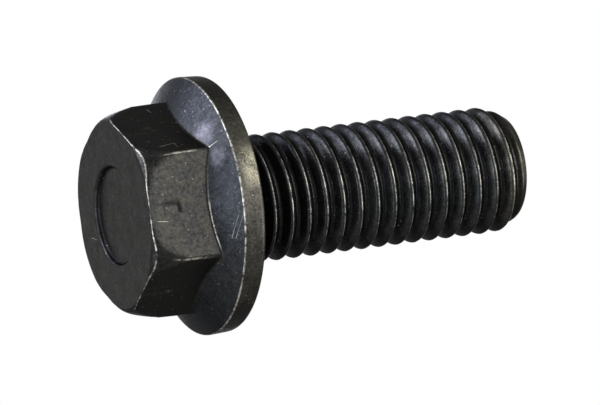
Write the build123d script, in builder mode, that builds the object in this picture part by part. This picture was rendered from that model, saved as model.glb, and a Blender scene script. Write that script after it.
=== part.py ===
"""Flange bolt, M12 x 1.75 x 30: one cold-forged steel piece with a rolled thread.

The bolt stands on its head. +Z runs along the shank to the tip, and the origin is the centre
of the flange's bearing face, so the head lies below the origin and the shank above it.
"""

import os
from math import atan, cos, degrees, radians, tan

from build123d import *

# Thread and shank
major_diameter = 11.85
pitch = 1.75
shank_length = 30.0
groove_depth = 0.95
root_width = 0.35
flank_angle = 30.0
first_thread = 2.5
turns_per_cut = 3
cuts = 6
blank_length = 36.0
cutter_margin = 0.2
lead_in_clearance = 0.03
tip_diameter = 9.8
tip_chamfer_length = 1.6
underhead_cone = 0.5

# Flange
flange_diameter = 23.94
rim_height = 2.15
cone_angle = 30.0
rim_top_bevel = 0.12
rim_bottom_bevel = 0.35

# Hexagonal head
head_height = 9.9
across_flats = 17.5
draft_angle = 1.2
corner_radius = 0.9
blend_radius = 0.6
face_diameter = 17.2
corner_drop = 1.9
corner_bulge = 0.22

# Shallow round recess in the head
recess_diameter = 9.2
recess_floor_diameter = 8.6
recess_depth = 0.4

# Worked-out sizes
major_radius = major_diameter / 2
root_radius = major_radius - groove_depth
cutter_reach = groove_depth + cutter_margin
cutter_mouth = root_width + 2 * cutter_reach * tan(radians(flank_angle))
flange_radius = flange_diameter / 2
hex_reach = across_flats / 2 / cos(radians(30))
cone_slope = tan(radians(cone_angle))
cone_top_radius = across_flats / 2 - blend_radius
cone_top = -rim_height - (flange_radius - cone_top_radius) * cone_slope
flat_foot = -rim_height - (flange_radius - across_flats / 2) * cone_slope
corner_foot = -rim_height - (flange_radius - hex_reach) * cone_slope


def groove_section(start: Plane) -> Sketch:
    """A flat-bottomed V on the given plane, opening outwards along the plane's X."""
    with BuildSketch(start) as section:
        with BuildLine():
            Polyline(
                (0, -root_width / 2),
                (cutter_reach, -cutter_mouth / 2),
                (cutter_reach, cutter_mouth / 2),
                (0, root_width / 2),
                close=True,
            )
        make_face()
    return section.sketch


# The hexagon: a drafted prism with rounded corners, rounded off towards its outer face
with BuildPart() as hexagon:
    with BuildSketch(Plane.XY.offset(-rim_height)):
        RegularPolygon(radius=across_flats / 2, side_count=6, major_radius=False)
        fillet(vertices(), radius=corner_radius)
    extrude(amount=head_height - rim_height, dir=(0, 0, -1), taper=draft_angle)
    with BuildSketch(Plane.XZ):
        with BuildLine():
            face_edge = (face_diameter / 2, -head_height)
            shoulder = (hex_reach, corner_drop - head_height)
            bulge = (
                (face_edge[0] + shoulder[0]) / 2 + corner_bulge,
                (face_edge[1] + shoulder[1]) / 2 - corner_bulge,
            )
            Polyline(shoulder, (hex_reach, 0), (0, 0), (0, -head_height), face_edge)
            ThreePointArc(face_edge, bulge, shoulder)
        make_face()
    revolve(axis=Axis.Z, mode=Mode.INTERSECT)

# The thread groove's cutter: a few turns of the V along the helix, repeated up the shank
with BuildPart() as groove:
    with BuildLine() as helix:
        Helix(
            pitch=pitch,
            height=turns_per_cut * pitch,
            radius=root_radius,
            center=(0, 0, first_thread),
        )
    add(groove_section(Plane(helix.line @ 0, x_dir=(1, 0, 0), z_dir=helix.line % 0)))
    sweep(path=helix.line, is_frenet=True)

# The run-out: one more turn at the head end, in which the groove sinks in from the surface
with BuildPart() as run_out:
    with BuildLine() as lead_in:
        Helix(
            pitch=pitch,
            height=pitch,
            radius=major_radius + lead_in_clearance,
            center=(0, 0, first_thread - pitch),
            cone_angle=-degrees(atan((groove_depth + lead_in_clearance) / pitch)),
        )
    add(groove_section(Plane(lead_in.line @ 0, x_dir=(1, 0, 0), z_dir=lead_in.line % 0)))
    sweep(path=lead_in.line, is_frenet=True)

# The shank: a threaded blank, longer than the bolt until its tip is turned to a chamfer
with BuildPart() as shank:
    with BuildSketch():
        Circle(major_radius)
    extrude(amount=blank_length)
    add(run_out.part, mode=Mode.SUBTRACT)
    for cut in range(cuts):
        rise = cut * turns_per_cut * pitch
        add(groove.part.moved(Location((0, 0, rise))), mode=Mode.SUBTRACT)
    with BuildSketch(Plane.XZ):
        with BuildLine():
            Polyline(
                (0, blank_length + 1),
                (0, shank_length),
                (tip_diameter / 2, shank_length),
                (major_radius, shank_length - tip_chamfer_length),
                (major_radius + 1, shank_length - tip_chamfer_length),
                (major_radius + 1, blank_length + 1),
                close=True,
            )
        make_face()
    revolve(axis=Axis.Z, mode=Mode.SUBTRACT)

with BuildPart() as flange_bolt:
    # Flange and cone, turned about the bolt's axis
    with BuildSketch(Plane.XZ):
        with BuildLine():
            Polyline(
                (0, cone_top),
                (cone_top_radius, cone_top),
                (flange_radius, -rim_height),
                (flange_radius, 0),
                (0, 0),
                close=True,
            )
        make_face()
    revolve(axis=Axis.Z)
    rim_edges = edges().filter_by(GeomType.CIRCLE).sort_by(SortBy.RADIUS)[-2:].sort_by(Axis.Z)
    chamfer(rim_edges[0], length=rim_top_bevel)
    chamfer(rim_edges[1], length=rim_bottom_bevel)

    # The hexagon stands on the cone, with a soft forged blend all round its foot
    add(hexagon.part)
    foot_edges = edges().filter_by_position(Axis.Z, flat_foot - 0.3, corner_foot + 0.3)
    fillet(foot_edges, radius=blend_radius)

    # Round recess in the outer face, with a sloping wall
    with BuildSketch(Plane.XY.offset(-head_height)):
        Circle(recess_diameter / 2)
    with BuildSketch(Plane.XY.offset(-head_height + recess_depth)):
        Circle(recess_floor_diameter / 2)
    loft(mode=Mode.SUBTRACT)

    # Threaded shank, with a coned neck where it meets the bearing face
    add(shank.part)
    neck_edge = edges().filter_by(GeomType.CIRCLE).filter_by_position(Axis.Z, -0.01, 0.01)
    chamfer(neck_edge.sort_by(SortBy.RADIUS)[0], length=underhead_cone)

flange_bolt.part.label = "flange_bolt"
os.makedirs("parts", exist_ok=True)
export_step(flange_bolt.part, "parts/flange_bolt.step")
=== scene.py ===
"""Looks of a black flange bolt: one forged and rolled surface, its finish, and the studio."""

import logging
import math
from dataclasses import dataclass, field
from enum import Enum
from typing import Any, Sequence

import bpy
import numpy as np
from mathutils import Matrix, Vector

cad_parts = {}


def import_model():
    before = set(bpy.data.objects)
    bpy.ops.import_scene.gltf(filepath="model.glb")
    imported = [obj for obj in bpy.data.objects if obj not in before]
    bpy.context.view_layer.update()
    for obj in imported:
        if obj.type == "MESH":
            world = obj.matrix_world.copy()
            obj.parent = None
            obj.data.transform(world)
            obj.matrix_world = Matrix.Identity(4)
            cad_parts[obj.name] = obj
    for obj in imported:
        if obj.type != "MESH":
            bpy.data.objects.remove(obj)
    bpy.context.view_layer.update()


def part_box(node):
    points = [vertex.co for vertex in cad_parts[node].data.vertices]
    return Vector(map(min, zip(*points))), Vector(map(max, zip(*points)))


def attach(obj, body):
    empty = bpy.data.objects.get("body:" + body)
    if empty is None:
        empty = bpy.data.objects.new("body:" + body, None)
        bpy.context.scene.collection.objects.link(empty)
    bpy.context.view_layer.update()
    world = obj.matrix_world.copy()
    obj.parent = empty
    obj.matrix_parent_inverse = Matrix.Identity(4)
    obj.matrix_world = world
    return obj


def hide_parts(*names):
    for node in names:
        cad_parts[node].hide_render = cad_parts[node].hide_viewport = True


LOG = logging.getLogger("flange_bolt")
MM = 0.001
SEXTANT = math.pi / 3
MERGE = 0.0004 * MM


@dataclass(frozen=True)
class BoltFrame:
    """The bolt's main sizes in metres, read from the fixed frame."""

    head_height: float
    shank_length: float
    flange_radius: float

    @classmethod
    def from_box(cls, node: str) -> "BoltFrame":
        """Takes the sizes from the lowest and highest corners of a node.

        Args:
            node: name of the bolt's node in the frame.

        Returns:
            The sizes: the head lies below the origin, the shank above it.
        """
        low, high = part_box(node)
        return cls(-low[2], high[2], high[0])


@dataclass(frozen=True)
class Hexagon:
    """A drafted hexagon with rounded corners, its corners on +X and every 60 degrees."""

    apothem: float = 8.6 * MM
    draft: float = math.radians(1.2)
    corner_radius: float = 0.45 * MM
    foot: float = -2.15 * MM

    def radius(self, angle: np.ndarray, height: np.ndarray) -> np.ndarray:
        """Distance from the axis to the hexagon's wall.

        On a flat it is the apothem over the cosine of the angle from the flat's middle. Near a
        corner it is where the ray meets the circle that rounds the corner.

        Args:
            angle: angles round the axis.
            height: heights along the axis, of the same shape.

        Returns:
            The radii, of the same shape.
        """
        apothem = self.apothem + (height - self.foot) * math.tan(self.draft)
        from_corner = np.abs((angle + SEXTANT / 2) % SEXTANT - SEXTANT / 2)
        flat = apothem / np.cos(SEXTANT / 2 - from_corner)
        centre = (apothem - self.corner_radius) / math.cos(SEXTANT / 2)
        reach = self.corner_radius**2 - (centre * np.sin(from_corner)) ** 2
        round_part = centre * np.cos(from_corner) + np.sqrt(np.maximum(reach, 0))
        touch = (apothem - self.corner_radius) * math.tan(SEXTANT / 2)
        return np.where(from_corner < SEXTANT / 2 - np.arctan(touch / apothem), round_part, flat)


@dataclass(frozen=True)
class Head:
    """The head and flange: a half-profile for every angle, with its edges rounded."""

    face_radius: float = 8.46 * MM
    crease_share: float = 0.72
    dome_drop: float = 1.15
    corner_drop: float = 1.55
    corner_power: float = 2.57
    recess_radius: float = 4.6 * MM
    recess_floor: float = 4.42 * MM
    recess_depth: float = 0.42 * MM
    rim_height: float = 2.15 * MM
    rim_foot_inset: float = 0.12 * MM
    cone_slope: float = math.tan(math.radians(30))
    neck_radius: float = 5.925 * MM
    hexagon: Hexagon = field(default_factory=Hexagon)
    crease_hexagon: Hexagon = Hexagon(corner_radius=3.4 * MM)

    def crease(self, angle: np.ndarray, bottom: float) -> tuple[np.ndarray, np.ndarray]:
        """The edge where the slightly domed face ends and the rounded-off corner starts.

        It lies part of the way from the face's circle to the hexagon, and below the face's
        plane by a squared term of that distance.

        Args:
            angle: angles round the axis.
            bottom: height of the face.

        Returns:
            Radius and height of the crease.
        """
        wall = self.crease_hexagon.radius(angle, np.full_like(angle, bottom))
        past = np.maximum(wall - self.face_radius, 0) * self.crease_share
        return self.face_radius + past, bottom + self.dome_drop * past**2 / MM

    def shoulder(self, angle: np.ndarray, bottom: float) -> tuple[np.ndarray, np.ndarray]:
        """The point where the rounded-off corner ends on the hexagon's wall, for each angle.

        The drop grows as a power of the wall's distance past the face's circle, so it is
        nothing at the middle of a flat and largest at a corner.

        Args:
            angle: angles round the axis.
            bottom: height of the face.

        Returns:
            Radius and height of the shoulder.
        """
        wall = self.hexagon.radius(angle, np.full_like(angle, bottom))
        past = np.maximum(wall - self.face_radius, 0) / MM
        height = bottom + self.corner_drop * past**self.corner_power * MM
        return self.hexagon.radius(angle, height), height


@dataclass(frozen=True)
class Thread:
    """A right-handed rolled thread: flat crest, 60 degree flanks, rounded root."""

    pitch: float = 1.75 * MM
    crest_radius: float = 5.925 * MM
    depth: float = 0.87 * MM
    half_crest: float = 0.15 * MM
    flank: float = math.tan(math.radians(60))
    crest_start: float = 1.622 * MM
    softness: float = 0.10 * MM
    root_softness: float = 0.18 * MM
    run_out_from: float = 0.7 * MM
    run_out_length: float = 1.9 * MM
    tip_radius: float = 4.9 * MM
    tip_chamfer: float = 1.6 * MM

    def phase(self, angle: np.ndarray, height: np.ndarray) -> np.ndarray:
        """Place within one pitch, in metres from the nearest crest, positive towards the tip."""
        rise = height - self.crest_start - self.pitch * angle / (2 * math.pi)
        return (rise / self.pitch + 0.5) % 1.0 * self.pitch - self.pitch / 2

    def groove(self, angle: np.ndarray, height: np.ndarray) -> np.ndarray:
        """Depth of the groove, 0 on a crest and 1 at the root.

        The flank's straight line is softly clipped at both ends, so the crest's edges and the
        root are rounded.

        Args:
            angle: angles round the axis.
            height: heights along the axis.

        Returns:
            Depth as a share of the full depth.
        """
        from_crest = np.abs(self.phase(angle, height))
        line = (from_crest - self.half_crest) * self.flank
        cut = soft_clip(line, self.softness)
        cut = self.depth - soft_clip(self.depth - cut, self.root_softness)
        return cut / self.depth

    def radius(self, angle: np.ndarray, height: np.ndarray, tip: float) -> np.ndarray:
        """Distance from the axis: crest radius less the groove, which fades in at the neck.

        Args:
            angle: angles round the axis.
            height: heights along the axis.
            tip: height of the tip's end face.

        Returns:
            The radii, held under the tip's chamfer.
        """
        fade = smooth_step((height - self.run_out_from) / self.run_out_length)
        thread = self.crest_radius - self.depth * fade * self.groove(angle, height)
        slope = (self.crest_radius - self.tip_radius) / self.tip_chamfer
        chamfer = self.tip_radius + (tip - height) * slope
        return thread - soft_clip(thread - chamfer, self.softness)


def soft_clip(value: np.ndarray, softness: float) -> np.ndarray:
    """Zero below zero and the value above it, with a rounded turn: log of one plus exp."""
    scaled = np.clip(value / softness, -40, 40)
    return np.where(value / softness > 30, value, softness * np.log1p(np.exp(scaled)))


def soft_minimum(first: np.ndarray, second: np.ndarray, softness: float) -> np.ndarray:
    """The smaller of two lengths, with a rounded turn where they cross."""
    return first - soft_clip(first - second, softness)


def smooth_step(share: np.ndarray) -> np.ndarray:
    """Rises from 0 to 1 with level ends, by the cubic 3x^2 - 2x^3."""
    share = np.clip(share, 0, 1)
    return share * share * (3 - 2 * share)


def rounded_path(
    nodes: Sequence[tuple[Any, Any]], rounds: Sequence[float], spans: Sequence[int], bends: int
) -> np.ndarray:
    """A path through nodes whose corners are rounded, for every angle at once.

    Each inner corner is replaced by a quadratic curve that leaves one side and meets the other
    at the given distance from the corner, or at under half the shorter side.

    Args:
        nodes: radius and height of each node, as numbers or one value for each angle.
        rounds: distance from each inner node at which its curve starts.
        spans: how many steps each straight side has.
        bends: how many steps each curve has.

    Returns:
        Array of rows by angles by 2, radius and height.
    """
    shape = np.broadcast_shapes(*(np.shape(part) for node in nodes for part in node))
    points = np.array(
        [[np.broadcast_to(part, shape) for part in node] for node in nodes]
    ).transpose(0, 2, 1)
    side = np.diff(points, axis=0)
    length = np.linalg.norm(side, axis=2, keepdims=True)
    unit = side / np.maximum(length, 1e-9)
    rows = []
    start = points[0]
    for index, steps in enumerate(spans):
        last = index == len(spans) - 1
        if last:
            end = points[-1]
        else:
            room = np.minimum(length[index], length[index + 1]) * 0.48
            trim = np.minimum(rounds[index], room)
            end = points[index + 1] - unit[index] * trim
        share = np.linspace(0, 1, steps, endpoint=False)[:, None, None]
        rows.append(start + (end - start) * share)
        if not last:
            corner = points[index + 1]
            leave = corner + unit[index + 1] * trim
            turn = np.linspace(0, 1, bends, endpoint=False)[:, None, None]
            rows.append(
                (1 - turn) ** 2 * end + 2 * turn * (1 - turn) * corner + turn**2 * leave
            )
            start = leave
    rows.append(points[-1][None])
    return np.concatenate(rows)


@dataclass
class BoltSurface:
    """The whole bolt as one closed skin, from the middle of its head to the middle of its tip."""

    frame: BoltFrame
    head: Head = field(default_factory=Head)
    thread: Thread = field(default_factory=Thread)
    columns_per_side: int = 42
    corner_crowding: float = 0.45
    face_inner: float = 6.4 * MM
    wall_middle: float = -6.9 * MM
    edge_softness: float = 0.035 * MM
    corner_start: float = 0.14 * MM
    corner_slack: float = 0.3 * MM
    corner_softness: float = 0.13 * MM
    ray_steps: int = 46
    thread_start: float = 0.75 * MM
    tip_margin: float = 0.12 * MM
    crest_edge: float = 0.131 * MM
    ray_crowding: float = 1.7
    recess_crown: float = 0.03 * MM
    recess_rounds: tuple[float, float] = (0.22 * MM, 0.2 * MM)
    corner_reach: tuple[float, float] = (0.01 * MM, 0.035 * MM)
    flange_rounds: tuple[float, ...] = (0.22 * MM, 0.1 * MM, 0.45 * MM, 0.5 * MM)
    thread_places: tuple[float, ...] = (0, 0.075, 0.125, 0.22, 0.33, 0.405)
    tip_lip: float = 0.08 * MM
    tip_rounds: tuple[float, float] = (0.1 * MM, 0.9 * MM)
    hollow_radius: float = 3.2 * MM
    hollow_depth: float = 0.15 * MM
    unmarked: float = 9.0
    wall_band: float = 0.3 * MM
    cone_band: float = 0.1 * MM
    foot_from: float = 7.5 * MM
    cone_from: float = -6 * MM

    def angles(self) -> np.ndarray:
        """Angles of the columns, closer together at the hexagon's corners.

        Evenly spaced angles, moved by a sine that repeats once for each side.

        Returns:
            Angles from 0 to a full turn, both included.
        """
        count = 6 * self.columns_per_side
        even = np.arange(count + 1) / self.columns_per_side
        crowd = self.corner_crowding / (2 * math.pi) * np.sin(2 * np.pi * even)
        return (even - crowd) * math.pi / 3

    def face_rows(self) -> np.ndarray:
        """The recess and the inner part of the head's face, the same at every angle.

        Returns:
            Rows of radius and height, from the axis outwards.
        """
        head = self.head
        bottom = -self.frame.head_height
        floor = bottom + head.recess_depth
        nodes = [
            (0.0, floor + self.recess_crown),
            (head.recess_floor, floor),
            (head.recess_radius, bottom),
            (self.face_inner, bottom),
        ]
        nodes = [(np.array([radius]), np.array([height])) for radius, height in nodes]
        rows = rounded_path(nodes, self.recess_rounds, [13, 2, 6], 8)
        return np.broadcast_to(rows, (len(rows), len(self.angles()), 2))

    def shoulder_rows(self) -> np.ndarray:
        """The face's outer part, the rounded-off corners and half the hexagon's wall.

        In the plane of each angle, rays fan out from a point inside the head. The length of a
        ray is a soft minimum of its distances to the face, to the corner's slope and to the
        wall, so all the edges between them are rounded.

        Returns:
            Rows of radius and height for every angle.
        """
        angle = self.angles()
        bottom = -self.frame.head_height
        centre = np.array([self.face_inner, self.wall_middle])
        wall = self.head.hexagon.radius(angle, np.full_like(angle, self.wall_middle))
        fan = np.linspace(0, 1, self.ray_steps)[:, None]
        crease = np.stack(self.head.crease(angle, bottom), axis=1)
        middle = np.arctan2(centre[1] - crease[:, 1], crease[:, 0] - centre[0])
        share = np.abs(2 * fan - 1) ** self.ray_crowding
        fan = middle + np.where(fan < 0.5, (math.pi / 2 - middle) * share, -middle * share)
        ray = np.stack([np.cos(fan), -np.sin(fan)], axis=2)
        shoulder = np.stack(self.head.shoulder(angle, bottom), axis=1)
        past = smooth_step((crease[:, 0] - self.head.face_radius) / self.corner_start)
        lower = np.stack([0 * past, (past - 1) * self.corner_slack], axis=1)
        middle_wall = np.stack([wall, np.full_like(wall, self.wall_middle)], axis=1)
        inset = np.array(self.corner_reach)
        corner = self.reach(ray, centre, crease + lower - inset, shoulder + lower + inset)
        side = self.reach(ray, centre, shoulder, middle_wall)
        side = soft_minimum(corner, side, self.corner_softness)
        domed = self.reach_dome(ray, centre, bottom)
        return centre + ray * soft_minimum(domed, side, self.edge_softness)[..., None]

    def reach_dome(self, ray: np.ndarray, centre: np.ndarray, bottom: float) -> np.ndarray:
        """Lengths of the rays from a centre to the face, which is domed past its circle.

        Inside the circle the face is a plane. Outside it the face drops by the squared distance
        past the circle, and the length is the positive root of a quadratic.

        Args:
            ray: unit directions, rays by columns by 2.
            centre: where the rays start.
            bottom: height of the face.

        Returns:
            Rays by columns.
        """
        out, down = ray[..., 0], -ray[..., 1]
        depth = centre[1] - bottom
        start = centre[0] - self.head.face_radius
        bend = self.head.dome_drop / MM
        plane = depth / np.maximum(down, 1e-6)
        square = np.maximum(bend * out**2, 1e-12)
        linear = 2 * bend * out * start + down
        constant = bend * start**2 - depth
        root = np.sqrt(np.maximum(linear**2 - 4 * square * constant, 0))
        return np.where(start + plane * out < 0, plane, (root - linear) / (2 * square))

    @staticmethod
    def reach(
        ray: np.ndarray, centre: np.ndarray, start: np.ndarray, end: np.ndarray
    ) -> np.ndarray:
        """Lengths of the rays from a centre to the line through two points.

        Args:
            ray: unit directions, rays by columns by 2.
            centre: where the rays start.
            start: a point of the line, or one for each angle.
            end: another, further round from the face to the wall.

        Returns:
            Rays by angles.
        """
        along = end - start
        normal = np.stack([along[..., 1], -along[..., 0]], axis=-1)
        normal = normal / np.linalg.norm(normal, axis=-1, keepdims=True)
        toward = (ray * normal).sum(axis=2)
        gap = ((start - centre) * normal).sum(axis=-1)
        return np.where(toward > 1e-3, gap / np.maximum(toward, 1e-3), 1.0)

    def flange_rows(self) -> np.ndarray:
        """The upper wall, the blend into the flange's cone, the rim, and on to the neck.

        Returns:
            Rows of radius and height for every angle.
        """
        angle = self.angles()
        head = self.head
        rim = self.frame.flange_radius
        height = np.full_like(angle, -head.rim_height)
        for _ in range(3):
            wall = head.hexagon.radius(angle, height)
            height = -head.rim_height - (rim - wall) * head.cone_slope
        nodes = [
            (
                head.hexagon.radius(angle, np.full_like(angle, self.wall_middle)),
                self.wall_middle,
            ),
            (wall, height),
            (rim, -head.rim_height),
            (rim - head.rim_foot_inset, 0.0),
            (head.neck_radius, 0.0),
            (head.neck_radius, self.thread_start),
        ]
        return rounded_path(nodes, self.flange_rounds, [12, 12, 6, 8, 2], 7)

    def thread_rows(self) -> np.ndarray:
        """The threaded shank, in rows that follow the helix.

        A row's height is its place within a pitch plus the helix's rise at each angle, held
        between the neck and the tip. Rows held at an end fall together and are merged later.

        Returns:
            Rows of radius and height for every angle.
        """
        angle = self.angles()
        thread = self.thread
        places = np.array(self.thread_places)
        places = np.concatenate([places, [0.5], 1 - places[:0:-1]])
        top = self.frame.shank_length - self.tip_margin
        turns = math.ceil((top - self.thread_start) / thread.pitch) + 2
        start = thread.crest_start - 2 * thread.pitch
        steps = (np.arange(turns + 1)[:, None] + places[None, :]).ravel() * thread.pitch
        height = start + steps[:, None] + thread.pitch * angle[None, :] / (2 * math.pi)
        height = np.clip(height, self.thread_start, top)
        spread = np.broadcast_to(angle, height.shape)
        radius = thread.radius(spread, height, self.frame.shank_length)
        return np.stack([radius, height], axis=2)

    def tip_rows(self, last: np.ndarray) -> np.ndarray:
        """The rounded edge of the tip and its slightly hollow end face.

        Args:
            last: radius and height of the thread's last row.

        Returns:
            Rows of radius and height for every angle.
        """
        tip = self.frame.shank_length
        nodes = [
            (last[:, 0], last[:, 1]),
            (last[:, 0] - self.tip_lip, np.full(len(last), tip)),
            (np.full(len(last), self.hollow_radius), np.full(len(last), tip)),
            (np.zeros(len(last)), np.full(len(last), tip - self.hollow_depth)),
        ]
        return rounded_path(nodes, self.tip_rounds, [2, 6, 7], 5)[1:]

    def build(self, name: str) -> bpy.types.Object:
        """Makes the mesh and its point attributes.

        Args:
            name: name of the object.

        Returns:
            The object, at the origin, unturned and unscaled.
        """
        shank = self.thread_rows()
        groups = [
            self.face_rows()[:-1],
            self.shoulder_rows()[:-1],
            self.flange_rows()[:-1],
            shank,
            self.tip_rows(shank[-1]),
        ]
        rows = np.concatenate(groups)
        radius, height = rows[..., 0], rows[..., 1]
        angle = np.broadcast_to(self.angles(), radius.shape)
        points = np.stack([radius * np.cos(angle), radius * np.sin(angle), height], axis=2)
        shank_start = len(rows) - len(groups[3]) - len(groups[4])
        on_shank = np.arange(len(rows))[:, None] >= shank_start
        on_shank = on_shank & (np.arange(len(rows))[:, None] < shank_start + len(shank))
        return mesh_from_rows(name, points, self.marks(radius, height, angle, on_shank))

    def marks(
        self, radius: np.ndarray, height: np.ndarray, angle: np.ndarray, on_shank: np.ndarray
    ) -> dict[str, np.ndarray]:
        """Numbers that the finish reads at each point. Distances are in millimetres.

        Args:
            radius: distances from the axis.
            height: heights along the axis.
            angle: angles round the axis.
            on_shank: true for the threaded rows.

        Returns:
            Groove depth and the flange's cone from 0 to 1, and the distances to the crest's
            edge on the tip's side, to the hexagon's corner, to the face's edge and to the
            hexagon's foot.
        """
        far = self.unmarked
        crease_radius, crease_height = self.head.crease(angle, -self.frame.head_height)
        past, above = radius - crease_radius, height - crease_height
        from_crease = np.sign(past + above) * np.hypot(past, above)
        thread = self.thread
        phase = thread.phase(angle, height)
        from_edge = np.abs(phase - self.crest_edge)
        from_edge = np.minimum(from_edge, thread.pitch - from_edge)
        from_corner = np.abs((angle + SEXTANT / 2) % SEXTANT - SEXTANT / 2) * radius
        head = self.head
        cone = -head.rim_height - (self.frame.flange_radius - radius) * head.cone_slope
        wall = head.hexagon.radius(angle, height)
        on_wall = (np.abs(radius - wall) < self.wall_band) & (height < cone + self.cone_band)
        on_foot = (height < 0) & (radius > self.foot_from)
        on_cone = np.clip((radius - wall) / self.wall_band, 0, 1) * (height < -head.rim_height)
        return {
            "groove": np.where(on_shank, thread.groove(angle, height), 0.0),
            "crest_edge": np.where(on_shank, from_edge / MM, far),
            "corner_edge": np.where(on_wall, from_corner / MM, far),
            "face_edge": from_crease / MM,
            "cone": on_cone * (height > self.cone_from),
            "foot_line": np.where(on_foot, (radius - wall) / MM, far),
        }


def mesh_from_rows(
    name: str, points: np.ndarray, values: dict[str, np.ndarray]
) -> bpy.types.Object:
    """A closed mesh from rows of points round an axis, with coincident points merged.

    Each cell of four neighbours gives a quad. Cells that shrink to a line vanish and those
    that lose one side become triangles.

    Args:
        name: name of the object.
        points: rows by angles by 3; the last angle repeats the first.
        values: a number for each point, to be kept as a point attribute.

    Returns:
        The object.
    """
    rows, columns, _ = points.shape
    flat = points.reshape(-1, 3)
    keys = np.round(flat / MERGE).astype(np.int64)
    _, first, same = np.unique(keys, axis=0, return_index=True, return_inverse=True)
    same = same.ravel().reshape(rows, columns)
    cells = np.stack(
        [same[:-1, :-1], same[1:, :-1], same[1:, 1:], same[:-1, 1:]], axis=2
    ).reshape(-1, 4)
    repeats = cells == np.roll(cells, -1, axis=1)
    quads = cells[repeats.sum(axis=1) == 0]
    split = repeats.sum(axis=1) == 1
    triangles = cells[split][~repeats[split]].reshape(-1, 3)
    folded = (quads[:, 0] == quads[:, 2]) | (quads[:, 1] == quads[:, 3])
    quads = quads[~folded]
    faces = np.concatenate([quads.ravel(), triangles.ravel()])
    starts = np.concatenate(
        [np.arange(len(quads)) * 4, len(quads) * 4 + np.arange(len(triangles)) * 3]
    )
    mesh = bpy.data.meshes.new(name)
    mesh.vertices.add(len(first))
    mesh.vertices.foreach_set("co", flat[first].ravel())
    mesh.loops.add(len(faces))
    mesh.loops.foreach_set("vertex_index", faces.astype(np.int32))
    mesh.polygons.add(len(starts))
    mesh.polygons.foreach_set("loop_start", starts.astype(np.int32))
    mesh.update(calc_edges=True)
    mesh.validate()
    mesh.shade_smooth()
    for key, value in values.items():
        attribute = mesh.attributes.new(key, "FLOAT", "POINT")
        attribute.data.foreach_set("value", value.ravel()[first].astype(np.float32))
    piece = bpy.data.objects.new(name, mesh)
    bpy.context.scene.collection.objects.link(piece)
    LOG.info("%s: %d quads and %d triangles", name, len(quads), len(triangles))
    return piece


class Channel:
    """A shader socket that adds, subtracts, multiplies and divides like a number."""

    def __init__(self, shader: "Shader", socket: Any) -> None:
        """Wraps a socket.

        Args:
            shader: the material's node builder.
            socket: the output socket of a node.
        """
        self.shader = shader
        self.socket = socket

    def _math(self, kind: str, *inputs: Any) -> "Channel":
        """A Math node on channels or numbers."""
        return self.shader.node("ShaderNodeMath", "Value", operation=kind, inputs=inputs)

    def __add__(self, other: Any) -> "Channel":
        """This channel plus another or a number."""
        return self._math("ADD", self, other)

    def __sub__(self, other: Any) -> "Channel":
        """This channel less another or a number."""
        return self._math("SUBTRACT", self, other)

    def __mul__(self, other: Any) -> "Channel":
        """This channel times another or a number."""
        return self._math("MULTIPLY", self, other)

    def __truediv__(self, other: Any) -> "Channel":
        """This channel over another or a number."""
        return self._math("DIVIDE", self, other)

    def __rsub__(self, other: Any) -> "Channel":
        """A number less this channel."""
        return self._math("SUBTRACT", other, self)

    def __rtruediv__(self, other: Any) -> "Channel":
        """A number over this channel."""
        return self._math("DIVIDE", other, self)

    __radd__ = __add__
    __rmul__ = __mul__

    def ramp(self, low: float, high: float) -> "Channel":
        """0 below low, 1 above high and smooth between; high may be the smaller of the two."""
        turned = low > high
        span = sorted((low, high))
        out = self.shader.node(
            "ShaderNodeMapRange",
            "Result",
            interpolation_type="SMOOTHSTEP",
            inputs={"Value": self, "From Min": span[0], "From Max": span[1]},
        )
        return 1 - out if turned else out

    def ramp_line(self, low: float, high: float) -> "Channel":
        """0 below low, 1 above high and a straight line between."""
        return self.shader.node(
            "ShaderNodeMapRange",
            "Result",
            inputs={"Value": self, "From Min": low, "From Max": high},
        )

    def power(self, exponent: float) -> "Channel":
        """The channel raised to a power."""
        return self._math("POWER", self, exponent)

    def most(self, other: Any) -> "Channel":
        """The larger of two channels."""
        return self._math("MAXIMUM", self, other)


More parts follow.
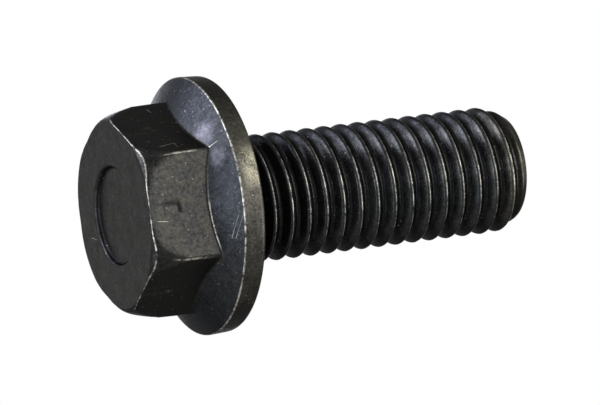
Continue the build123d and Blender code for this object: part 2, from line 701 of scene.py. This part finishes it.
class Shader:
    """Builds one material's nodes."""

    def __init__(self, name: str) -> None:
        """Starts an empty material.

        Args:
            name: name of the material.
        """
        self.material = bpy.data.materials.new(name)
        self.material.use_nodes = True
        self.tree = self.material.node_tree
        self.tree.nodes.clear()

    def node(self, kind: str, output: Any, inputs: Any = (), **settings: Any) -> Channel:
        """Adds a node, sets its properties and joins its inputs.

        Args:
            kind: the node's type name.
            output: name or number of the output socket to return.
            inputs: values or channels, as a sequence in order or a mapping by name.
            settings: the node's own properties.

        Returns:
            The chosen output.
        """
        made = self.tree.nodes.new(kind)
        for key, value in settings.items():
            setattr(made, key, value)
        pairs = inputs.items() if isinstance(inputs, dict) else enumerate(inputs)
        for key, value in pairs:
            if isinstance(value, Channel):
                self.tree.links.new(value.socket, made.inputs[key])
            else:
                made.inputs[key].default_value = value
        return Channel(self, made.outputs[output])

    def blend(self, share: Any, first: Any, second: Any) -> Channel:
        """Mixes two colours.

        Args:
            share: how much of the second, from 0 to 1.
            first: a colour of three numbers, or a channel.
            second: the same.

        Returns:
            The mixed colour.
        """
        colours = [v if isinstance(v, Channel) else (*v, 1.0) for v in (first, second)]
        return self.node(
            "ShaderNodeMix",
            2,
            data_type="RGBA",
            inputs={0: share, 6: colours[0], 7: colours[1]},
        )

    def vector(self, kind: str, *inputs: Any, output: str = "Vector") -> Channel:
        """A Vector Math node with the given inputs, channels or triples."""
        return self.node("ShaderNodeVectorMath", output, operation=kind, inputs=inputs)

    def scale(self, colour: Channel, factor: Channel) -> Channel:
        """A colour times a number."""
        return self.node(
            "ShaderNodeVectorMath",
            "Vector",
            operation="SCALE",
            inputs={0: colour, "Scale": factor},
        )

    def place(self) -> Channel:
        """The point's place in the object's own frame, in metres."""
        return self.node("ShaderNodeTexCoord", "Object")

    def parts(self, vector: Channel) -> tuple[Channel, Channel, Channel]:
        """Splits a vector into its X, Y and Z."""
        made = self.tree.nodes.new("ShaderNodeSeparateXYZ")
        self.tree.links.new(vector.socket, made.inputs[0])
        x, y, z = (Channel(self, socket) for socket in made.outputs)
        return x, y, z

    def attribute(self, name: str) -> Channel:
        """A point attribute of the mesh."""
        return self.node("ShaderNodeAttribute", "Fac", attribute_name=name)

    def noise(self, place: Channel, size: float, detail: float = 3, rough: float = 0.55) -> Channel:
        """Soft noise from 0 to 1 whose features are about size metres across."""
        return self.node(
            "ShaderNodeTexNoise",
            0,
            inputs={
                "Vector": place,
                "Scale": 1 / size,
                "Detail": detail,
                "Roughness": rough,
            },
        )

    def surface(self, shader: Channel) -> bpy.types.Material:
        """Joins a shader to the material's output and returns the material."""
        out = self.tree.nodes.new("ShaderNodeOutputMaterial")
        self.tree.links.new(shader.socket, out.inputs["Surface"])
        return self.material


@dataclass(frozen=True)
class Scratch:
    """A thin bright scratch between two points, in millimetres."""

    start: tuple[float, float, float]
    end: tuple[float, float, float]
    width: float = 0.05

    def mark(self, shader: "Shader", place: Channel) -> Channel:
        """1 on the scratch and 0 away from it, by the distance to its line.

        Args:
            shader: the material's node builder.
            place: the point in metres.

        Returns:
            The mark.
        """
        start = tuple(part * MM for part in self.start)
        along = tuple((b - a) * MM for a, b in zip(self.start, self.end))
        length = sum(part * part for part in along)
        step = shader.vector("SUBTRACT", place, start)
        share = shader.vector("DOT_PRODUCT", step, along, output="Value") / length
        share = share.ramp_line(0.0, 1.0)
        foot = shader.vector("MULTIPLY", share, along)
        away = shader.vector("LENGTH", shader.vector("SUBTRACT", step, foot), output="Value")
        width = self.width * MM * (1 - share * 0.5)
        return (away / width).ramp(1.0, 0.4)


SCRATCHES = (
    Scratch((9.08, -1.25, -7.57), (8.96, -1.51, -6.06), 0.06),
    Scratch((8.96, -1.51, -6.06), (9.39, -0.78, -6.03), 0.05),
    Scratch((5.51, -7.5, -5.76), (5.81, -7.0, -5.61), 0.09),
    Scratch((6.75, 5.21, -9.2), (6.72, 5.3, -8.26), 0.05),
    Scratch((7.0, 8.02, -2.92), (9.11, 6.87, -2.47), 0.06),
    Scratch((7.31, 8.26, -2.69), (9.3, 7.24, -2.26), 0.05),
    Scratch((-6.1, -1.59, -9.9), (-5.23, -0.8, -9.9), 0.07),
    Scratch((3.13, -1.0, -9.6), (3.38, -0.61, -9.6), 0.08),
    Scratch((9.9, -0.07, -3.34), (10.8, -0.05, -2.82), 0.08),
)


@dataclass(frozen=True)
class BlackOxide:
    """Black oxide over forged and rolled steel, a little brown where it is thin. Its colour also
    holds painted shade in the thread's roots, under the flange and in the recess, a painted bluish
    sheen, and painted highlights on the cone, the rim and the crests.
    """

    black: tuple[float, float, float] = (0.0172, 0.0170, 0.0172)
    brownish: tuple[float, float, float] = (0.0192, 0.0180, 0.0150)
    rusty: tuple[float, float, float] = (0.0270, 0.0255, 0.0215)
    # painted sheen: the bluish laid on the flange's cone and half way over the shank
    bluish_sheen: tuple[float, float, float] = (0.0205, 0.0213, 0.0232)
    # pale: colour of the painted highlight patches on the flange's cone
    pale: tuple[float, float, float] = (0.052, 0.050, 0.056)
    # painted shade: the near black laid into the thread's roots, the first turns under the flange
    # and the recess wall
    painted_shade: tuple[float, float, float] = (0.004, 0.004, 0.0045)
    bare: tuple[float, float, float] = (0.30, 0.285, 0.25)
    # crest: bare metal of the crest lines, which are partly wear and partly painted highlight
    crest: tuple[float, float, float] = (0.230, 0.215, 0.185)
    # brassy: colour of the painted highlight on the flange's rim
    brassy_glint: tuple[float, float, float] = (0.135, 0.125, 0.095)
    edge_tint: tuple[float, float, float] = (0.1, 0.1, 0.1)
    metallic: float = 0.85
    rough_head: float = 0.32
    rough_thread: float = 0.27
    mottle: float = 1.4 * MM
    grain: float = 0.14 * MM
    # recess_wall: the circle round which the recess's painted shade lies
    recess_wall: tuple[float, float] = (4.46 * MM, -9.6 * MM)
    rim_ring: tuple[float, float] = (11.95 * MM, -2.15 * MM)
    # painted highlight: pale patches on the flange's cone beside the hexagon's corner on +X, where
    # a lamp's glow shows
    painted_highlight_spots: tuple[tuple[tuple[float, float, float], float], ...] = (
        ((9.87 * MM, -1.6 * MM, -3.3 * MM), 1.7 * MM),
        ((10.3 * MM, 1.4 * MM, -3.1 * MM), 1.3 * MM),
    )
    # painted highlight: a brassy patch on the flange's rim, about 16 degrees round from +X,
    # standing for a golden glint
    rim_glint_at: tuple[float, float, float] = (11.48 * MM, 3.33 * MM, -0.7 * MM)
    rim_glint_reach: tuple[float, float] = (2.6 * MM, 0.6 * MM)
    fine: float = 0.32 * MM
    patch: float = 0.7 * MM
    line_width: float = 0.35 * MM
    speck: float = 0.26 * MM
    scratch_wear: float = 0.4
    speck_wear: float = 0.3
    bump_strength: float = 0.5
    bump_depth: float = 0.02 * MM
    # facing: the angle round the axis towards the camera, the side to which the face, foot and
    # crest lines are kept as painted highlight
    facing: float = math.pi / 6

    def material(self, name: str) -> bpy.types.Material:
        """Builds the material.

        Args:
            name: name of the material.

        Returns:
            The material.
        """
        shader = Shader(name)
        place = shader.place()
        x, y, z = shader.parts(place)
        radius = (x * x + y * y).power(0.5)
        mottle = shader.noise(place, self.mottle, 5, 0.62)
        grain = shader.noise(place, self.grain, 3, 0.7)
        shank = z.ramp(0.2 * MM, 0.6 * MM)
        wear_and_highlight = self.wear_and_highlight(shader, place, (x, y, z, radius), grain)
        rim = z.ramp(-2.3 * MM, -2.0 * MM) * (1 - z.ramp(0.5 * MM, 2 * MM) * 0.8)
        tip = z.ramp(25 * MM, 29 * MM)
        flats = z.ramp(-9.7 * MM, -8.5 * MM) * z.ramp(-3 * MM, -4.5 * MM)
        tint = (mottle + flats * 0.12).ramp(0.45, 0.85)
        colour = shader.blend(tint, self.black, self.brownish)
        colour = shader.blend((rim * 0.8).most(tip), colour, self.rusty)
        # painted sheen: bluish over the flange's cone and half way over the shank, short of the tip
        upper = shank * (1 - tip) * 0.5
        cone = shader.attribute("cone")
        colour = shader.blend((cone * 0.9).most(upper), colour, self.bluish_sheen)
        # painted highlight: pale patches on the cone, broken up by the mottle
        for spot, reach in self.painted_highlight_spots:
            away = shader.vector("DISTANCE", place, spot, output="Value")
            patch = away.ramp(reach, 0.3 * reach) * mottle.ramp(0.2, 0.7) * cone
            colour = shader.blend(patch, colour, self.pale)
        fine = shader.noise(place, self.fine, 4, 0.7)
        texture = mottle.ramp_line(0.3, 0.7) * 0.5 + fine.ramp_line(0.3, 0.7) * 0.9
        colour = shader.scale(colour, texture + grain.ramp_line(0.3, 0.7) * 0.3 + 0.15)
        # painted shade: a ring on the recess's wall is darkened towards near black
        recess = self.ring(radius, z, self.recess_wall).ramp(0.24 * MM, 0.14 * MM)
        # painted shade: the thread's roots, and the first turns under the flange, are darkened
        # towards near black
        groove = shader.attribute("groove")
        neck = z.ramp(8 * MM, 2 * MM) * shank
        colour = shader.blend((groove.ramp(0.3, 0.9) * 0.7).most(neck * 0.6), colour, self.painted_shade)
        colour = shader.blend(recess * 0.8, colour, self.painted_shade)
        # painted highlight: a brassy patch on the rim where a golden glint shows, broken up by
        # grain and mottle
        rim_glint = shader.vector("DISTANCE", place, self.rim_glint_at, output="Value")
        rim_glint = rim_glint.ramp(*self.rim_glint_reach) * (grain * 0.7 + mottle * 0.5).ramp(0.48, 0.75)
        rim_glint = rim_glint * z.ramp(-2.0 * MM, -1.5 * MM) * (1 - shank)
        colour = shader.blend(rim_glint * 0.8, colour, self.brassy_glint)
        # wear and painted highlight: bare metal over rubbed edges, scratches and specks, and over
        # the camera-side edge lines
        colour = shader.blend(wear_and_highlight, colour, shader.blend(shank, self.bare, self.crest))
        rough = self.rough_head + shank * (self.rough_thread - self.rough_head)
        rough = rough + (grain - 0.5) * (0.22 - shank * 0.14) + (mottle - 0.5) * 0.15
        bump = shader.node(
            "ShaderNodeBump",
            "Normal",
            inputs={
                "Strength": self.bump_strength,
                "Distance": self.bump_depth,
                "Height": grain * (0.9 - shank * 0.6) + mottle * (5 - shank * 2) - wear_and_highlight * 0.5,
            },
        )
        steel = shader.node(
            "ShaderNodeBsdfPrincipled",
            "BSDF",
            inputs={
                "Base Color": colour,
                "Roughness": rough,
                "Metallic": wear_and_highlight.most(self.metallic - 0.12 + texture * 0.14),
                "Specular IOR Level": 0.1,
                "Specular Tint": (*self.edge_tint, 1.0),
                "Normal": bump,
            },
        )
        return shader.surface(steel)

    def wear_and_highlight(
        self,
        shader: "Shader",
        place: Channel,
        parts: tuple[Channel, Channel, Channel, Channel],
        grain: Channel,
    ) -> Channel:
        """Where the black is rubbed off: edges, crests, scratches and a few specks. The face, foot
        and crest lines are kept to the side towards the camera, so they are partly wear and partly
        painted highlight.

        Args:
            shader: the material's node builder.
            place: the point in metres.
            parts: its X, Y, Z and its distance from the axis.
            grain: the fine noise that breaks the lines up.

        Returns:
            Wear and painted highlight from 0 to 1.
        """
        x, y, z, radius = parts
        patches = shader.noise(place, self.patch, 3)
        # the side towards the camera, to which the face, foot and crest lines are kept as painted
        # highlight
        toward = x * math.cos(self.facing) + y * math.sin(self.facing)
        wide = shader.noise(place, self.line_width, 2) * 0.09 * MM + 0.05 * MM
        face_line = shader.attribute("face_edge") * MM / wide
        face_line = (face_line * face_line).ramp(1.1, 0.2)
        face_line = face_line * toward.ramp(-3 * MM, 6 * MM)
        rim_line = (self.ring(radius, z, self.rim_ring) / wide).ramp(1.2, 0.5)
        corner_line = shader.attribute("corner_edge").ramp(0.13, 0.03)
        corner_line = corner_line * z.ramp(-4 * MM, -5.2 * MM) * z.ramp(-8.3 * MM, -7.2 * MM)
        foot_line = shader.attribute("foot_line") - 0.12
        foot_line = (foot_line * foot_line).ramp(0.004, 0.001)
        foot_line = foot_line * shader.attribute("corner_edge").ramp(0.3, 1.2)
        foot_line = foot_line * toward.ramp(8.2 * MM, 8.5 * MM) * y.ramp(3 * MM, 6 * MM)
        # painted highlight: the bright line on each crest's tip-side edge, on the camera's side
        # only, partly rubbed-off oxide
        crest_line = shader.attribute("crest_edge").ramp(0.08, 0.02)
        crest_line = crest_line * z.ramp(29 * MM, 28.4 * MM) * toward.ramp(-1 * MM, 5.5 * MM)
        lines = face_line.most(rim_line * 0.9).most(corner_line * 0.8).most(foot_line * 0.5)
        lines = lines.most(crest_line)
        worn_and_highlit = lines * (patches * 1.1 + grain * 0.5).ramp(0.58, 0.98)
        specks = shader.noise(place, self.speck, 1).ramp(0.68, 0.78) * grain.ramp(0.35, 0.6)
        worn_and_highlit = worn_and_highlit.most(specks * self.speck_wear)
        for scratch in SCRATCHES:
            worn_and_highlit = worn_and_highlit.most(scratch.mark(shader, place) * self.scratch_wear)
        return worn_and_highlit

    def ring(self, radius: Channel, z: Channel, circle: tuple[float, float]) -> Channel:
        """Distance to a circle round the axis.

        Args:
            radius: distance from the axis.
            z: height along the axis.
            circle: the circle's radius and height.

        Returns:
            The distance in metres.
        """
        across, along = radius - circle[0], z - circle[1]
        return (across * across + along * along).power(0.5)


@dataclass(frozen=True)
class PaleFloor:
    """A plain pale floor that only the camera sees, and only from above."""

    colour: tuple[float, float, float] = (0.93, 0.93, 0.93)

    def material(self, name: str) -> bpy.types.Material:
        """Builds the material.

        Args:
            name: name of the material.

        Returns:
            The material.
        """
        shader = Shader(name)
        back = shader.node("ShaderNodeNewGeometry", "Backfacing")
        seen = shader.node("ShaderNodeLightPath", "Is Camera Ray")
        hidden = back.most(1 - seen)
        matt = shader.node("ShaderNodeBsdfDiffuse", "BSDF", inputs={"Color": (*self.colour, 1)})
        clear = shader.node("ShaderNodeBsdfTransparent", "BSDF")
        return shader.surface(shader.node("ShaderNodeMixShader", 0, inputs=(hidden, matt, clear)))


class Finish(Enum):
    """The finishes in the scene."""

    BLACK_OXIDE = BlackOxide()
    PALE_FLOOR = PaleFloor()


@dataclass(frozen=True)
class SoftBox:
    """A square soft light, aimed at a target."""

    name: str
    place: tuple[float, float, float]
    size: float
    power: float
    colour: tuple[float, float, float]


@dataclass
class Studio:
    """Camera, lights, world and floor, laid out in the camera's own directions."""

    lens: float = 360.0
    sensor: float = 36.0
    focal_steps: float = 6000.0
    frame_centre: tuple[float, float] = (300.0, 202.5)
    origin_at: tuple[float, float] = (213.0, 203.7)
    distance: float = 553.0 * MM
    azimuth: float = math.radians(24.3)
    tilt: float = math.radians(-7.1)
    roll: float = math.radians(56.0)
    lean: float = math.radians(0.66)
    background: float = 1.0
    ambient: float = 0.25
    floor_gap: float = 0.02 * MM
    floor_half: float = 1.5
    aim_height: float = 9 * MM
    clip: tuple[float, float] = (0.01, 20.0)

    def axes(self) -> tuple[Vector, Vector, Vector, Vector]:
        """The bolt's axes and origin as the camera sees them: x right, y down, z ahead.

        Returns:
            The bolt's X, Y, Z and its origin.
        """
        flat = math.cos(self.tilt)
        along = Vector(
            (flat * math.cos(self.azimuth), math.sin(self.tilt), flat * math.sin(self.azimuth))
        )
        up = Vector((0, -1, 0))
        first = (up - along * up.dot(along)).normalized()
        lean = Matrix.Rotation(self.lean, 3, "Z")
        along, first = lean @ along, lean @ first
        second = along.cross(first)
        turn_x = first * math.cos(self.roll) + second * math.sin(self.roll)
        turn_y = second * math.cos(self.roll) - first * math.sin(self.roll)
        step = self.distance / self.focal_steps
        origin = Vector(
            (
                (self.origin_at[0] - self.frame_centre[0]) * step,
                (self.origin_at[1] - self.frame_centre[1]) * step,
                self.distance,
            )
        )
        return turn_x, turn_y, along, origin

    def to_bolt(self, point: Vector) -> Vector:
        """A camera-space point (x right, y down, z ahead) in the bolt's frame."""
        turn_x, turn_y, along, origin = self.axes()
        step = point - origin
        return Vector((step.dot(turn_x), step.dot(turn_y), step.dot(along)))

    def add_camera(self) -> None:
        """Adds the camera and makes it the scene's own."""
        turn_x, turn_y, along, _ = self.axes()
        data = bpy.data.cameras.new("camera")
        data.lens, data.sensor_width = self.lens, self.sensor
        data.clip_start, data.clip_end = self.clip
        camera = bpy.data.objects.new("camera", data)
        rows = [(axis.x, -axis.y, -axis.z) for axis in (turn_x, turn_y, along)]
        camera.matrix_world = Matrix.Translation(
            self.to_bolt(Vector((0, 0, 0)))
        ) @ Matrix(rows).to_4x4()
        bpy.context.scene.collection.objects.link(camera)
        bpy.context.scene.camera = camera

    def add_light(self, box: SoftBox) -> None:
        """Adds a soft light. Its place is in camera directions, from the bolt's middle.

        Args:
            box: the light's place (right, up, towards the camera), size and power.
        """
        _, _, along, origin = self.axes()
        middle = origin + along * self.aim_height
        right, up, near = box.place
        spot = self.to_bolt(middle + Vector((right, -up, -near)))
        target = Vector((0, 0, self.aim_height))
        data = bpy.data.lights.new(box.name, "AREA")
        data.size, data.energy, data.color = box.size, box.power, box.colour
        lamp = bpy.data.objects.new(box.name, data)
        lamp.location = spot
        lamp.rotation_mode = "QUATERNION"
        lamp.rotation_quaternion = (target - spot).to_track_quat("-Z", "Y")
        bpy.context.scene.collection.objects.link(lamp)

    def add_world(self) -> None:
        """A white backdrop for camera and glossy rays, and a plain dim ambient light."""
        world = bpy.data.worlds.new("studio")
        bpy.context.scene.world = world
        world.use_nodes = True
        tree = world.node_tree
        tree.nodes.clear()
        path = tree.nodes.new("ShaderNodeLightPath")
        seen = tree.nodes.new("ShaderNodeMath")
        seen.operation = "MAXIMUM"
        tree.links.new(path.outputs["Is Camera Ray"], seen.inputs[0])
        shown = tree.nodes.new("ShaderNodeMath")
        shown.operation = "MAXIMUM"
        tree.links.new(path.outputs["Is Glossy Ray"], shown.inputs[0])
        tree.links.new(path.outputs["Is Transmission Ray"], shown.inputs[1])
        tree.links.new(shown.outputs[0], seen.inputs[1])
        level = tree.nodes.new("ShaderNodeMapRange")
        level.inputs["To Min"].default_value = self.ambient
        level.inputs["To Max"].default_value = self.background
        tree.links.new(seen.outputs[0], level.inputs["Value"])
        back = tree.nodes.new("ShaderNodeBackground")
        back.inputs["Color"].default_value = (1, 1, 1, 1)
        tree.links.new(level.outputs["Result"], back.inputs["Strength"])
        out = tree.nodes.new("ShaderNodeOutputWorld")
        tree.links.new(back.outputs[0], out.inputs["Surface"])

    def add_floor(self, height: float) -> None:
        """Adds the floor that the bolt's head stands on, a hair below its face.

        Args:
            height: height of the head's outer face.
        """
        half = self.floor_half
        height -= self.floor_gap
        corners = [(-half, -half, height), (half, -half, height)]
        corners += [(half, half, height), (-half, half, height)]
        mesh = bpy.data.meshes.new("floor")
        mesh.from_pydata(corners, [], [(0, 1, 2, 3)])
        floor = bpy.data.objects.new("floor", mesh)
        bpy.context.scene.collection.objects.link(floor)
        mesh.materials.append(Finish.PALE_FLOOR.value.material("pale_floor"))


LIGHTS = (
    SoftBox("left_high", (-0.36, 0.248, 0.113), 0.2, 2.20, (0.86, 0.9, 1.0)),
    SoftBox("right_high", (0.41, 0.158, 0.09), 0.2, 2.25, (0.99, 1.0, 0.94)),
    SoftBox("left_rear", (-0.387, 0.176, -0.153), 0.2, 1.90, (0.78, 0.82, 1.0)),
    SoftBox("right_low", (0.432, -0.09, 0.09), 0.2, 1.50, (0.93, 0.96, 0.96)),
    SoftBox("front_left", (-0.27, -0.045, 0.36), 0.2, 1.45, (0.93, 0.98, 1.0)),
    SoftBox("front_right", (0.32, 0.054, 0.315), 0.2, 0.95, (0.95, 0.96, 0.94)),
    SoftBox("right_rear", (0.387, 0.045, -0.225), 0.2, 1.00, (0.92, 1.0, 1.0)),
    SoftBox("front_right_high", (0.279, 0.252, 0.248), 0.2, 0.90, (0.95, 0.95, 0.9)),
    SoftBox("left", (-0.423, -0.054, 0.14), 0.2, 0.70, (0.75, 0.84, 1.0)),
    SoftBox("rear", (-0.135, 0.135, -0.405), 0.2, 0.55, (0.85, 0.88, 1.0)),
    SoftBox("left_edge", (-0.432, 0.113, 0.05), 0.2, 0.55, (0.75, 0.82, 1.0)),
    SoftBox("left_rear_low", (-0.333, -0.045, -0.302), 0.2, 0.40, (1.0, 0.95, 0.88)),
    SoftBox("front_left_low", (-0.23, -0.275, 0.275), 0.2, 0.39, (0.83, 1.0, 1.0)),
    SoftBox("right_rear_high", (0.315, 0.27, -0.18), 0.2, 0.30, (0.68, 0.68, 1.0)),
    SoftBox("top_right", (0.27, 0.36, 0.045), 0.2, 0.21, (0.91, 1.0, 0.79)),
)


def dress(piece: bpy.types.Object, node: str) -> None:
    """Gives the visual bolt its finish and ties it to its node.

    Args:
        piece: the visual bolt.
        node: name of the node that it stands for.
    """
    piece.data.materials.append(Finish.BLACK_OXIDE.value.material("black_oxide_steel"))
    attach(piece, "root")
    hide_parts(node)


def main() -> None:
    """Builds the visual bolt, its finish and the studio on the fixed frame."""
    logging.basicConfig(level=logging.INFO, format="%(name)s: %(message)s")
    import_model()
    node = "flange_bolt"
    frame = BoltFrame.from_box(node)
    piece = BoltSurface(frame).build("flange_bolt_skin")
    dress(piece, node)
    studio = Studio()
    studio.add_world()
    studio.add_floor(-frame.head_height)
    for box in LIGHTS:
        studio.add_light(box)
    studio.add_camera()
    bpy.context.scene.view_settings.view_transform = "Standard"


if __name__ == "__main__":
    main()
